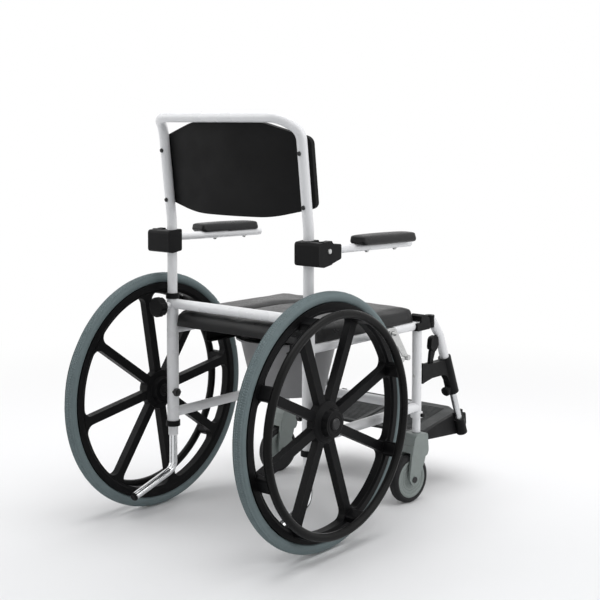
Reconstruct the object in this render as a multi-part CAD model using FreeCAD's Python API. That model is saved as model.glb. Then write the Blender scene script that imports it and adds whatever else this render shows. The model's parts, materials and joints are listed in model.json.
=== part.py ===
import FreeCAD, Part
import math
import os
from FreeCAD import Rotation, Vector

# Self-propelled shower and commode wheelchair, in millimetres.
# X runs to the sitter's left, Y to the back and Z up from the floor.
# While the pieces are made, Y is counted from the main axle. At the end every piece is
# moved back by origin_shift, so that the origin is on the floor under the chair's middle.

# Frame
post_x = 222.5              # both pairs of posts stand this far from the middle
rear_post_y = -6.0
front_post_y = -452.0
post_radius = 15.0
post_bore = 13.0
front_post_radius = 12.5
front_post_bore = 11.0
post_foot = 225.0
rear_post_top = 538.0
front_post_top = 470.0
rail_radius = 12.5
rail_bore = 10.8
side_rail_radius = 11.0     # the two rails that carry the seat
side_rail_bore = 9.4
lower_rail_z = 245.0
upper_rail_z = 459.0
rear_bar_z = 525.0
rear_leg_radius = 12.5
front_leg_radius = 10.6
front_leg_foot = 179.0
collar_radius = 18.0
collar_height = 14.0

# Anti-tip (tipping) tubes
tipping_radius = 10.0
tipping_bend = 28.0
tipping_low_z = 100.0
tipping_reach = 128.0
tipping_end_z = 58.0

# Main wheels
wheel_radius = 300.0
wheel_plane = 272.5
tyre_inner = 275.0
tyre_half_width = 15.0
rim_inner = 252.0
rim_half_width = 13.0
spoke_count = 8
spoke_width = 22.0
spoke_half_depth = 10.0
spoke_turn_left = 35.4      # angle of a spoke above the rearward line
spoke_turn_right = 25.1
hub_radius = 48.0
barrel_radius = 31.0
hub_inner_end = -25.0       # along the axle, counted from the wheel's middle plane
hub_outer_end = 34.0
bearing_radius = 16.0
bearing_width = 10.0
axle_radius = 6.0
running_clearance = 0.05
handrim_offset = 48.5
handrim_radius = 252.0
handrim_tube = 10.0
lug_half_width = 17.0

# Castors
castor_radius = 62.5
castor_trail = 30.0
castor_turn = 8.0           # both castors trail back and a little to the sitter's left
castor_half_width = 14.0
castor_core_radius = 49.0
castor_axle_radius = 5.0
castor_stem_radius = 6.0
fork_top = 178.0
fork_half_width = 22.5
fork_slot_half = 15.5
fork_slot_top = 131.0

# Back frame and panel
back_tube_radius = 12.5
back_foot = 432.0
lean_start = 735.0
lean_angle = 6.9
push_bar_z = 996.0
push_bar_y = 66.0
corner_z = 965.0
corner_inset = 30.0
corner_bend = 45.0
panel_half_width = 236.0
panel_thickness = 11.0
panel_sagitta = 30.0
panel_clear = 1.0           # gap between the panel and the back tubes
screw_heights = (791.0, 916.0)

# Armrests
arm_x = 251.0
arm_pivot_y = -13.0
arm_pivot_z = 691.0
arm_end_y = -370.0
arm_drop = 1.35             # degrees that the armrest falls towards its front
arm_tube_radius = 10.0
arm_pad_width = 50.0
arm_pad_height = 26.0
arm_pad_rear = -134.0
arm_pad_front = -356.0
bracket_low = 655.0
bracket_high = 715.0

# Seat, insert and pail
seat_half_width = 228.0
seat_front = -445.0
seat_rear = 6.0
seat_low = 470.0
seat_top = 506.0
opening_centre_y = -200.0
opening_half_width = 105.0
opening_half_length = 150.0
insert_gap = 0.6
ledge_width = 9.0
ledge_z = 484.0
pail_rim_radius = 135.0
pail_top_radius = 124.0
pail_foot_radius = 92.0
pail_foot_z = 300.0
pail_rim_z = 441.0
pail_wall = 2.5

# Leg rests
swing_y = -510.0            # the upright pin that the leg rest swings about
leg_lean = 22.5             # degrees between the leg tube and upright
leg_bend_z = 420.0
leg_line_y = -583.0         # the leg's centre line passes here at leg_line_z
leg_line_z = 357.0
sleeve_top = 357.0
sleeve_foot = 256.0
sleeve_radius = 17.5
leg_tube_radius = 9.0
leg_tube_foot = 142.0
plate_hinge_x = 199.0
plate_inner_x = 5.0
plate_length = 200.0
plate_tilt = 8.0
plate_rear_y = -502.0
plate_rear_z = 158.0
plate_thickness = 8.0

# Wheel locks
lock_x = 241.0
lock_pivot_y = -322.0
lock_pivot_z = 455.0
lock_shoe_y = -300.0
lock_shoe_z = 400.0
lock_tip_y = -372.0
lock_tip_z = 390.0

up = Vector(0, 0, 1)
across = Vector(1, 0, 0)
back = Vector(0, 1, 0)


def rod(start, end, radius):
    run = end - start
    return Part.makeCylinder(radius, run.Length, start, run)


def pipe(start, end, outer, inner):
    return rod(start, end, outer).cut(rod(start, end, inner))


def box(low, high):
    size = Vector(high) - Vector(low)
    return Part.makeBox(size.x, size.y, size.z, Vector(low))


def mirrored(shape):
    return shape.mirror(Vector(0, 0, 0), across)


def both_sides(shape):
    return Part.makeCompound([shape, mirrored(shape)])


def rounded_wire(points, radii, closed):
    # Straight runs joined by tangent arcs. radii is one number, or one per corner.
    count = len(points)
    if not isinstance(radii, (list, tuple)):
        radii = [radii] * count
    corners = []
    for index, point in enumerate(points):
        if not closed and index in (0, count - 1):
            corners.append((point, None, point))
            continue
        arriving = (point - points[index - 1]).normalize()
        leaving = (points[(index + 1) % count] - point).normalize()
        half_turn = arriving.getAngle(leaving) / 2
        radius = radii[index]
        if radius == 0 or half_turn < 1e-4:
            corners.append((point, None, point))
            continue
        reach = radius * math.tan(half_turn)
        inward = (leaving - arriving).normalize()
        middle = point + inward * (radius / math.cos(half_turn) - radius)
        corners.append((point - arriving * reach, middle, point + leaving * reach))
    edges = []
    for index, (start, middle, end) in enumerate(corners):
        if middle:
            edges.append(Part.Arc(start, middle, end).toShape())
        following = corners[(index + 1) % count][0]
        is_last = index == count - 1
        if (closed or not is_last) and (following - end).Length > 1e-6:
            edges.append(Part.LineSegment(end, following).toShape())
    return Part.Wire(edges)


def slab(outline, radii, depth):
    return Part.Face(rounded_wire(outline, radii, True)).extrude(depth)


def side_slab(outline, radii, x_low, x_high):
    # The outline's points are (y, z); the slab is as thick as the x range.
    points = [Vector(x_low, y, z) for y, z in outline]
    return slab(points, radii, across * (x_high - x_low))


def swept(path, radius):
    first = path.Edges[0]
    start = first.valueAt(first.FirstParameter)
    heading = first.tangentAt(first.FirstParameter)
    circle = Part.Wire([Part.Circle(start, heading, radius).toShape()])
    return path.makePipeShell([circle], True, False)


def bent_tube(points, bend_radius, outer, inner):
    path = rounded_wire(points, bend_radius, False)
    return swept(path, outer).cut(swept(path, inner))


def turned(profile, base, axis, rounding=0):
    # The profile's corners are (radius, distance along the axis from base).
    points = [Vector(radius, 0, along) for radius, along in profile]
    face = Part.Face(rounded_wire(points, rounding, True))
    solid = face.revolve(Vector(0, 0, 0), up, 360)
    solid.Placement = FreeCAD.Placement(base, Rotation(up, axis))
    return solid


def fillet_along(shape, direction, radius, chosen=lambda middle: True):
    # Rounds the straight edges that run along a direction.
    picked = []
    for edge in shape.Edges:
        if len(edge.Vertexes) != 2 or not isinstance(edge.Curve, Part.Line):
            continue
        run = edge.Vertexes[1].Point - edge.Vertexes[0].Point
        if run.cross(direction).Length < 1e-4 * run.Length and chosen(edge.CenterOfMass):
            picked.append(edge)
    return shape.makeFillet(radius, picked)


# ---------------------------------------------------------------- frame

def rear_post():
    y = rear_post_y
    foot = Vector(post_x, y, post_foot)
    post = pipe(foot, Vector(post_x, y, rear_post_top), post_radius, post_bore)
    boss_start = Vector(post_x, y + post_bore + 0.5, knob_z)
    boss = rod(boss_start, Vector(post_x, knob_base_y - 2, knob_z), 9)
    post = post.fuse(boss).cut(rod(Vector(post_x, y + post_bore - 2, knob_z),
                                   Vector(post_x, knob_base_y, knob_z),
                                   knob_screw_radius + running_clearance))
    return post.cut(rod(Vector(post_x - 20, 0, wheel_radius),
                        Vector(post_x + 20, 0, wheel_radius), axle_radius))


def rear_posts():
    # A post is alike on both sides of its own middle, so the second one is a shifted copy.
    post = rear_post()
    return Part.makeCompound([post, post.translated(across * (-2 * post_x))])


def front_post():
    foot = Vector(post_x, front_post_y, post_foot)
    top = Vector(post_x, front_post_y, front_post_top)
    post = pipe(foot, top, front_post_radius, front_post_bore)
    half = up * (collar_height / 2)
    clamp = pipe(foot - half, foot + half, front_clamp_radius, front_post_bore)
    return post.fuse(clamp).removeSplitter().cut(button_hole())


def rail(start, end, outer=rail_radius, inner=rail_bore):
    tube = pipe(start, end, outer, inner)
    for x in (-post_x, post_x):
        for y, radius in ((rear_post_y, post_radius), (front_post_y, front_post_radius)):
            tube = tube.cut(rod(Vector(x, y, 0), Vector(x, y, 700), radius))
    return tube


def frame_rails():
    lower = rail(Vector(post_x, rear_post_y, lower_rail_z),
                 Vector(post_x, front_post_y, lower_rail_z))
    upper = rail(Vector(post_x, rear_post_y, upper_rail_z),
                 Vector(post_x, front_post_y, upper_rail_z), side_rail_radius, side_rail_bore)
    rear_bar = rail(Vector(-post_x, rear_post_y, rear_bar_z),
                    Vector(post_x, rear_post_y, rear_bar_z))
    front_bar = rail(Vector(-post_x, front_post_y, lower_rail_z),
                     Vector(post_x, front_post_y, lower_rail_z))
    for x in (-post_x, post_x):
        front_bar = front_bar.cut(rod(Vector(x, rear_post_y, lower_rail_z),
                                      Vector(x, front_post_y - 20, lower_rail_z),
                                      rail_radius))
    return Part.makeCompound([both_sides(lower), both_sides(upper), rear_bar, front_bar])


def leg_collars():
    # Black rings under and on top of each rear post, and a screw in each front clamp.
    top = Vector(post_x, rear_post_y, post_foot)
    guide = Vector(post_x, rear_post_y, rear_post_top)
    guide_radius = back_tube_radius + running_clearance
    clamp_middle = Vector(post_x, front_post_y, post_foot)
    clamp_screw = rod(clamp_middle, clamp_middle + across * (front_clamp_radius + 6), 5)
    clamp_screw = clamp_screw.cut(rod(clamp_middle - up * collar_height,
                                      clamp_middle + up * collar_height,
                                      front_clamp_radius))
    return both_sides(Part.makeCompound([
        pipe(top - up * collar_height, top, collar_radius, rear_leg_radius),
        pipe(guide, guide + up * collar_height, collar_radius - 1, guide_radius),
        clamp_screw]))


def button_hole():
    start = Vector(post_x, front_post_y + front_leg_radius - 4, front_button_z)
    return rod(start, start + back * 8, 4)


def leg_button():
    # Sprung press-button that locks the height of the inner leg.
    start = Vector(post_x, front_post_y + front_leg_radius - 3.5, front_button_z)
    return turned([(0, 0), (4, 0), (4, 6.5), (2.5, 7.5), (0, 7.5)], start, back)


def inner_legs():
    # Front legs carry the castor stems; rear legs hold the tipping tubes.
    stem_bore = castor_stem_radius + running_clearance
    wall = 1.8
    front = turned([(stem_bore, 0), (front_leg_radius, 0), (front_leg_radius, 170),
                    (front_leg_radius - wall, 170), (front_leg_radius - wall, 60),
                    (stem_bore, 60)],
                   Vector(post_x, front_post_y, front_leg_foot), up)
    front = front.cut(button_hole())
    rear = pipe(Vector(post_x, rear_post_y, 188), Vector(post_x, rear_post_y, 280),
                rear_leg_radius, tipping_radius)
    return both_sides(Part.makeCompound([front, rear]))


def tipping_tube():
    points = [Vector(post_x, rear_post_y, 262), Vector(post_x, rear_post_y, tipping_low_z),
              Vector(post_x, tipping_reach, tipping_end_z)]
    return bent_tube(points, tipping_bend, tipping_radius, tipping_radius - 1.6)


def tipping_plug():
    end = Vector(post_x, tipping_reach, tipping_end_z)
    heading = (end - Vector(post_x, rear_post_y, tipping_low_z)).normalize()
    bore = tipping_radius - 1.6
    return turned([(0, -12), (bore, -12), (bore, 0), (tipping_radius + 0.6, 0),
                   (tipping_radius + 0.6, 4), (tipping_radius - 2, 7), (0, 7)],
                  end, heading)


def wheel_axle():
    # Bolt through the rear post with its nut, spacer and outer cap.
    post_face = post_x + post_radius
    spacer_end = wheel_plane + hub_inner_end + 0.7
    cap_start = wheel_plane + hub_outer_end + 0.3
    base = Vector(0, 0, wheel_radius)
    bolt = turned([(0, post_x - 28), (axle_radius, post_x - 28), (axle_radius, post_face),
                   (9, post_face), (9, spacer_end), (axle_radius, spacer_end),
                   (axle_radius, cap_start), (13.5, cap_start), (13.5, cap_start + 2),
                   (10, cap_start + 4), (0, cap_start + 4)], base, across)
    nut_start = Vector(post_x - post_radius - 10, 0, wheel_radius)
    corners = [nut_start + Vector(0, 10.5 * math.cos(math.radians(60 * i)),
                                  10.5 * math.sin(math.radians(60 * i))) for i in range(6)]
    nut = slab(corners, 0, across * 9.5)
    nut = nut.cut(rod(nut_start, nut_start + across * 20, axle_radius))
    return Part.makeCompound([bolt, nut])


# ---------------------------------------------------------------- main wheels

def wheel_centre():
    return Vector(wheel_plane, 0, wheel_radius)


def tyre():
    half = tyre_half_width
    return turned([(tyre_inner, -11), (tyre_inner + 12, -half), (wheel_radius, -9),
                   (wheel_radius, 9), (tyre_inner + 12, half), (tyre_inner, 11)],
                  wheel_centre(), across, [0, 5, 5, 5, 5, 0])


def spoke_window():
    # The gap between the spoke at angle 0 and the next one, with rounded corners.
    reach = rim_inner + 20
    half_gap = 180.0 / spoke_count
    middle_angle = math.radians(half_gap)
    apex_reach = spoke_width / 2 / math.sin(middle_angle)
    depth = spoke_half_depth + 1
    apex = Vector(-depth, apex_reach * math.cos(middle_angle),
                  apex_reach * math.sin(middle_angle))
    far_low = apex + Vector(0, reach, 0)
    far_high = apex + Vector(0, reach * math.cos(2 * middle_angle),
                             reach * math.sin(2 * middle_angle))
    far_middle = apex + Vector(0, 1.2 * reach * math.cos(middle_angle),
                               1.2 * reach * math.sin(middle_angle))
    wedge = slab([apex, far_low, far_middle, far_high], 0, across * 2 * depth)
    ring = pipe(Vector(-depth, 0, 0), Vector(depth, 0, 0), rim_inner, hub_radius + 1)
    window = wedge.common(ring)
    outer = fillet_along(window, across, 20.0, lambda p: math.hypot(p.y, p.z) > 150)
    return fillet_along(outer, across, 5.0, lambda p: math.hypot(p.y, p.z) < 100)


def mag_wheel(spoke_turn):
    shoulder = rim_inner + 8
    rim = turned([(rim_inner, -8), (shoulder, -rim_half_width), (tyre_inner, -rim_half_width),
                  (tyre_inner, rim_half_width), (shoulder, rim_half_width), (rim_inner, 8)],
                 wheel_centre(), across)
    depth = spoke_half_depth
    web = turned([(hub_radius - 2, -depth), (rim_inner + 1, -depth), (rim_inner + 1, depth),
                  (hub_radius - 2, depth)], wheel_centre(), across)
    window = spoke_window().rotated(Vector(0, 0, 0), across, spoke_turn)
    for index in range(spoke_count):
        step = window.rotated(Vector(0, 0, 0), across, index * 360.0 / spoke_count)
        web = web.cut(step.translated(wheel_centre()))
    seat = bearing_radius
    hub = turned([(seat, hub_inner_end), (30, hub_inner_end), (34, -13), (hub_radius, -11),
                  (hub_radius, 11), (40, 14), (34, 18), (barrel_radius, hub_outer_end),
                  (seat, hub_outer_end), (seat, hub_outer_end - 11), (13, hub_outer_end - 11),
                  (13, hub_inner_end + 11), (seat, hub_inner_end + 11)],
                 wheel_centre(), across)
    wheel = rim.fuse([web, hub])
    hand_ring = handrim()
    for index in range(spoke_count):
        angle = spoke_turn + index * 360.0 / spoke_count
        lug = box((rim_half_width - 6, handrim_radius - 9, -lug_half_width),
                  (handrim_offset - 2, handrim_radius + 12, lug_half_width))
        lug = fillet_along(lug, across, 6.0)
        lug = lug.rotated(Vector(0, 0, 0), across, angle).translated(wheel_centre())
        wheel = wheel.fuse(lug.cut(hand_ring))
    return wheel.removeSplitter()


def handrim():
    centre = wheel_centre() + across * handrim_offset
    return Part.makeTorus(handrim_radius, handrim_tube, centre, across)


def wheel_bearings():
    bore = axle_radius + running_clearance
    rings = []
    for start in (hub_inner_end + 1, hub_outer_end - 11):
        base = wheel_centre() + across * start
        rings.append(pipe(base, base + across * bearing_width, bearing_radius, bore))
    return Part.makeCompound(rings)


# ---------------------------------------------------------------- castors

def castor_centre():
    return Vector(post_x, front_post_y + castor_trail, castor_radius)


def castor_fork():
    y = front_post_y
    outline = [(y - 21, 150), (y + 36, 150), (y + castor_trail + 18, 66),
               (y + castor_trail + 6, 44), (y + castor_trail - 12, 52), (y - 8, 104)]
    fork = side_slab(outline, [2, 2, 14, 10, 12, 20],
                     post_x - fork_half_width, post_x + fork_half_width)
    body = side_slab([(y - 19, fork_top), (y + 23, fork_top), (y + 31, fork_top - 12),
                      (y + 38, 130), (y + 30, 118), (y - 18, 118), (y - 23, 132)],
                     [7, 7, 10, 8, 12, 10, 16], post_x - fork_half_width - 1,
                     post_x + fork_half_width + 1)
    fork = fork.fuse(body).removeSplitter()
    slot = side_slab([(y - 60, 0), (y + 100, 0), (y + 100, fork_slot_top),
                      (y - 60, fork_slot_top)], [0, 0, 0, 0],
                     post_x - fork_slot_half, post_x + fork_slot_half)
    stem_top = Vector(post_x, y, fork_top + 5)
    stem_hole = rod(Vector(post_x, y, fork_slot_top + 6), stem_top, castor_stem_radius)
    return fork.cut(slot).cut(stem_hole).cut(castor_axle())


def castor_stem():
    y = front_post_y
    return rod(Vector(post_x, y, fork_slot_top + 6), Vector(post_x, y, 236),
               castor_stem_radius)


def castor_axle():
    centre = castor_centre()
    half = fork_half_width + 2.5
    return turned([(0, -half), (8, -half), (8, 2 - half), (castor_axle_radius, 2 - half),
                   (castor_axle_radius, half - 2), (8, half - 2), (8, half), (0, half)],
                  centre, across)


def castor_core():
    centre = castor_centre()
    bore = castor_axle_radius + running_clearance
    return turned([(bore, -14.5), (16, -14.5), (20, -10), (40, -10), (44, -12.5),
                   (castor_core_radius, -12.5), (castor_core_radius, 12.5), (44, 12.5),
                   (40, 10), (20, 10), (16, 14.5), (bore, 14.5)], centre, across)


def castor_tyre():
    half = castor_half_width
    return turned([(castor_core_radius, -12.5), (castor_core_radius + 5, -half),
                   (castor_radius, -9), (castor_radius, 9),
                   (castor_core_radius + 5, half), (castor_core_radius, 12.5)],
                  castor_centre(), across, [0, 4, 5, 5, 4, 0])


# ---------------------------------------------------------------- back

def lean(shape):
    # Turns an upright piece back about the bend in the back tubes.
    return shape.rotated(Vector(0, rear_post_y, lean_start), across, -lean_angle)


def lean_y(height):
    return rear_post_y + (height - lean_start) * math.tan(math.radians(lean_angle))


def back_screws():
    screws = []
    for height in screw_heights:
        rear = Vector(post_x, rear_post_y + back_tube_radius + 0.5, height)
        shank = rod(rear, rear - back * 34, 3)
        head = turned([(0, 0), (5.5, 0), (5, 2), (3, 3), (0, 3)], rear, back)
        screws.append(lean(shank.fuse(head)))
    return both_sides(Part.makeCompound(screws))


def back_frame():
    corner = Vector(post_x, lean_y(corner_z), corner_z)
    bar_end = Vector(post_x - corner_inset, push_bar_y, push_bar_z)
    half = [Vector(post_x, rear_post_y, back_foot), Vector(post_x, rear_post_y, lean_start),
            corner, bar_end]
    other = [Vector(-point.x, point.y, point.z) for point in reversed(half)]
    bends = [0, 90, corner_bend, corner_bend]
    tube = bent_tube(half + other, bends + bends[::-1], back_tube_radius,
                     back_tube_radius - 1.8)
    return tube.cut(back_screws())


def back_panel():
    # A shell curved in plan, its side edges forward of the tubes.
    rear_y = rear_post_y - back_tube_radius - panel_clear
    radius = (post_x ** 2 + panel_sagitta ** 2) / (2 * panel_sagitta)
    centre_y = rear_y + panel_sagitta - radius
    foot = Vector(0, centre_y, 700)
    top = Vector(0, centre_y, 1040)
    shell = pipe(foot, top, radius, radius - panel_thickness)
    side = panel_half_width
    outline = [(-side, 948), (-110, 988), (110, 988), (side, 948), (side, 785),
               (120, 762), (-120, 762), (-side, 785)]
    points = [Vector(x, -200, z) for x, z in outline]
    front_view = slab(points, [20, 150, 150, 20, 16, 400, 400, 16], back * 300)
    return lean(shell.common(front_view)).cut(back_screws())


def arm_bracket():
    # Clamped round the back tube, with a fork that is open to the top and the front.
    outer_x = post_x + 56
    body = side_slab([(-24, bracket_low + 5), (8, bracket_low), (25, bracket_low + 3), (25, bracket_high - 4),
                      (-24, bracket_high)], [5, 0, 8, 8, 5], post_x - 17, outer_x)
    cheek = side_slab([(-57, 671), (-24, 662), (8, bracket_low),
                       (8, bracket_high - 1), (-20, bracket_high - 2), (-30, 706),
                       (-57, 705)], [5, 12, 0, 0, 5, 4, 5], arm_x + 11.5, outer_x)
    bracket = body.fuse(cheek).removeSplitter()
    slot = box((arm_x - 11.5, -100, 672), (arm_x + 11.5, 8, bracket_high + 1))
    tube_hole = rod(Vector(post_x, rear_post_y, 600), Vector(post_x, rear_post_y, 733),
                    back_tube_radius)
    return bracket.cut(slot).cut(tube_hole).cut(arm_pivot())


def arm_pivot():
    start = Vector(arm_x - 16, arm_pivot_y, arm_pivot_z)
    outer = post_x + 56 - arm_x + 16
    return turned([(0, 0), (4, 0), (4, outer), (6, outer), (5.5, outer + 2),
                   (0, outer + 2)], start, across)


def arm_level():
    # The armrest is drawn level, then falls a little towards its front.
    return Vector(0, arm_pivot_y, arm_pivot_z)


def arm_tube():
    pivot = Vector(arm_x, arm_pivot_y, arm_pivot_z)
    front = Vector(arm_x, arm_end_y, arm_pivot_z)
    tube = pipe(pivot, front, arm_tube_radius, arm_tube_radius - 1.6)
    eye = rod(pivot - across * 10.5, pivot + across * 10.5, 11)
    end_cap = rod(front, front + back * 3, arm_tube_radius)
    tube = tube.fuse([eye, end_cap])
    tube = tube.cut(rod(pivot - across * 12, pivot + across * 12, 4 + running_clearance))
    return tube.rotated(arm_level(), across, arm_drop)


def arm_pad():
    low = arm_pivot_z + arm_tube_radius - 5.0
    high = low + arm_pad_height
    inner_x = back_tube_radius + post_x + 2
    rear = arm_pad_rear
    pad = side_slab([(arm_pad_front, low), (rear - 14, low), (rear, low + 10), (rear - 4, high),
                     (arm_pad_front, high)],
                    [6, 9, 5, 7, 8], inner_x, inner_x + arm_pad_width)
    pad = fillet_along(pad, back, 7.0, lambda p: p.z > high - 1)
    tube = rod(Vector(arm_x, -90, arm_pivot_z), Vector(arm_x, -400, arm_pivot_z),
               arm_tube_radius)
    return pad.cut(tube).rotated(arm_level(), across, arm_drop)


# ---------------------------------------------------------------- seat and pail

def oval(grow, z_low, z_high):
    # A rounded opening, longer from front to back than across.
    half_width = opening_half_width + grow
    half_length = opening_half_length + grow
    y = opening_centre_y
    points = [Vector(-half_width, y - half_length, z_low),
              Vector(half_width, y - half_length, z_low),
              Vector(half_width, y + half_length, z_low),
              Vector(-half_width, y + half_length, z_low)]
    return slab(points, 0.92 * half_width, up * (z_high - z_low))


def seat():
    wide = seat_half_width
    narrow = post_x - post_radius - 4
    notch_y = rear_post_y - post_radius - 6
    outline = [(-wide, seat_front), (wide, seat_front), (wide, notch_y), (narrow, notch_y),
               (narrow, seat_rear), (-narrow, seat_rear), (-narrow, notch_y), (-wide, notch_y)]
    points = [Vector(x, y, seat_low) for x, y in outline]
    body = slab(points, [25, 25, 6, 3, 8, 8, 3, 6], up * (seat_top - seat_low))
    body = body.makeFillet(8.0, [edge for edge in body.Edges
                                 if edge.BoundBox.ZMin > seat_top - 0.01])
    body = body.cut(oval(0, ledge_z, seat_top + 1))
    body = body.cut(oval(-ledge_width, seat_low - 1, ledge_z + 1))
    for side in (-1, 1):
        for y in (-380, -90):
            inner_x = side * (post_x - side_rail_radius - 4)
            outer_x = side * (post_x - 4)
            clip = box((min(inner_x, outer_x), y - 16, upper_rail_z - 4),
                       (max(inner_x, outer_x), y + 16, seat_low + 1))
            body = body.fuse(clip)
        rail_space = rod(Vector(side * post_x, front_post_y, upper_rail_z),
                         Vector(side * post_x, 0, upper_rail_z), side_rail_radius)
        body = body.cut(rail_space)
    return body.removeSplitter()


def seat_insert():
    insert = oval(-insert_gap, ledge_z, seat_top - 0.5)
    top_edges = [edge for edge in insert.Edges if edge.BoundBox.ZMin > seat_top - 0.6]
    insert = insert.makeFillet(4.0, top_edges)
    grow = -ledge_width - insert_gap
    return insert.fuse(oval(grow, seat_low + 6, ledge_z + 1)).removeSplitter()


def pail_rail():
    # An angle under the seat whose lip carries the pail's rim.
    y_low = opening_centre_y - 150
    y_high = opening_centre_y + 160
    outer_x = pail_rim_radius + 6
    lip_top = pail_rim_z - 5
    web = box((pail_rim_radius + 1.5, y_low, lip_top - 4), (outer_x, y_high, seat_low))
    lip = box((pail_top_radius + 3, y_low, lip_top - 4), (outer_x, y_high, lip_top))
    return web.fuse(lip).removeSplitter()


def pail():
    wall = pail_wall
    rim = pail_rim_radius
    return turned([(0, pail_foot_z), (pail_foot_radius, pail_foot_z),
                   (pail_top_radius, pail_rim_z - 4.5), (rim, pail_rim_z - 4.5),
                   (rim, pail_rim_z), (pail_top_radius - wall, pail_rim_z),
                   (pail_foot_radius - wall, pail_foot_z + wall),
                   (0, pail_foot_z + wall)], Vector(0, opening_centre_y, 0), up)


# ---------------------------------------------------------------- leg rests

def leg_point(height):
    # A point of the leg's centre line.
    fall = (leg_line_z - height) * math.tan(math.radians(leg_lean))
    return Vector(post_x, leg_line_y - fall, height)


def leg_direction():
    angle = math.radians(leg_lean)
    return Vector(0, -math.sin(angle), -math.cos(angle))


def swing_pin(radius, low, high):
    return rod(Vector(post_x, swing_y, low), Vector(post_x, swing_y, high), radius)


def hanger_socket():
    # Cap on the front post, with a lower ear and the upright pin.
    y = front_post_y
    foot = 447
    cap = side_slab([(y + 22, foot), (y + 22, seat_low - 3), (y + 5, seat_low - 3),
                     (y + 4, 484), (y - 4, 489), (y - 32, 478), (y - 36, foot)],
                    [4, 4, 2, 3, 6, 6, 4], post_x - 17, post_x + 17)
    ear = box((post_x - 12, swing_y + 12.8, foot), (post_x + 12, y - 20, 460))
    neck = box((post_x - 12, swing_y, foot), (post_x + 3, swing_y + 14, 460))
    ear_end = swing_pin(12.5, foot, 460)
    cap = cap.fuse([ear, neck, ear_end, swing_pin(5, 450, 480)]).removeSplitter()
    cap = cap.cut(rod(Vector(post_x, y, foot - 20), Vector(post_x, y, front_post_top),
                      front_post_radius))
    return cap.cut(rod(Vector(post_x, y, upper_rail_z), Vector(post_x, 0, upper_rail_z),
                       side_rail_radius))


def hanger_barrel():
    barrel = swing_pin(13, 460.4, 479)
    return barrel.cut(swing_pin(5 + running_clearance, 450, 490))


def hanger_tube():
    start = Vector(post_x, swing_y + 2, 477)
    points = [start, leg_point(leg_bend_z), leg_point(300)]
    tube = bent_tube(points, 60, rail_radius, 10.6)
    return tube.cut(swing_pin(13, 400, 520))


def leg_knob_axis():
    # The leg clamp's screw runs back from the sleeve, square to the leg.
    angle = math.radians(leg_lean)
    return Vector(0, math.cos(angle), -math.sin(angle))


def hanger_lock():
    # Black sleeve on the leg with an arm that reaches back to the front post.
    sleeve = rod(leg_point(sleeve_top), leg_point(sleeve_foot), sleeve_radius)
    arm_rear = front_post_y - front_post_radius - 0.5
    arm = side_slab([(arm_rear, 357), (arm_rear - 6, 357), (-500, 351), (-572, 351),
                     (-600, 330), (-612, 290), (-600, 284), (-580, 308), (-566, 312),
                     (-510, 312), (arm_rear - 10, 306), (arm_rear, 303)],
                    [2, 2, 4, 0, 0, 4, 6, 10, 10, 4, 4, 2], post_x - 10, post_x + 10)
    beyond = pipe(Vector(post_x, swing_y, 290), Vector(post_x, swing_y, 370), 200,
                  front_post_y - front_post_radius - 0.4 - swing_y)
    rear_part = box((post_x - 20, swing_y, 290), (post_x + 20, front_post_y, 370))
    arm = arm.cut(beyond.common(rear_part))
    boss_start = leg_point(272)
    boss = rod(boss_start, boss_start + leg_knob_axis() * 21, 9)
    block = sleeve.fuse([arm, boss]).removeSplitter()
    upper_bore = rod(leg_point(sleeve_top + 20), leg_point(300), rail_radius)
    lower_bore = rod(leg_point(310), leg_point(sleeve_foot - 10),
                     leg_tube_radius + running_clearance)
    screw_hole = rod(boss_start, boss_start + leg_knob_axis() * 30,
                     leg_screw_radius + running_clearance)
    block = block.cut(upper_bore).cut(lower_bore).cut(screw_hole)
    lever_slot = side_slab([(lever_y - 12, 333), (lever_y + 16, 333), (lever_y + 18, 360),
                            (lever_y - 14, 360)], 0, post_x - 4.5, post_x + 4.5)
    pin_start = Vector(post_x - 10, lever_y, lever_z)
    pin = rod(pin_start, pin_start + across * 20, 2.5)
    return block.cut(lever_slot).fuse(pin).removeSplitter()


def release_lever():
    y = lever_y
    z = lever_z
    stem = side_slab([(y + 5, z - 6), (y + 5, z + 8), (y + 1, z + 36), (y - 14, z + 70),
                      (y - 24, z + 44), (y - 12, z + 16), (y - 6, z - 6)],
                     [4, 6, 14, 9, 9, 10, 4], post_x - 4, post_x + 4)
    head = side_slab([(y + 4, z + 46), (y, z + 76), (y - 28, z + 80), (y - 34, z + 52),
                      (y - 18, z + 36)], [9, 12, 10, 10, 8], post_x - 7, post_x + 7)
    lever = stem.fuse(head).removeSplitter()
    pin = Vector(post_x - 20, y, z)
    return lever.cut(rod(pin, pin + across * 40, 2.5 + running_clearance))


def leg_knob():
    start = leg_point(272)
    axis = leg_knob_axis()
    screw = rod(start + axis * (leg_tube_radius + 0.3), start + axis * 24, leg_screw_radius)
    return screw.fuse(star_knob(start + axis * 23, axis, 13, 11, 6)).removeSplitter()


def leg_tube():
    return pipe(leg_point(345), leg_point(leg_tube_foot), leg_tube_radius,
                leg_tube_radius - 1.5)


def plate_frame(shape):
    # Pieces are drawn level from the plate's rear hinge end, then tipped toe up.
    origin = Vector(0, 0, 0)
    turned_up = shape.rotated(origin, across, -plate_tilt)
    return turned_up.translated(Vector(0, plate_rear_y, plate_rear_z))


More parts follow.
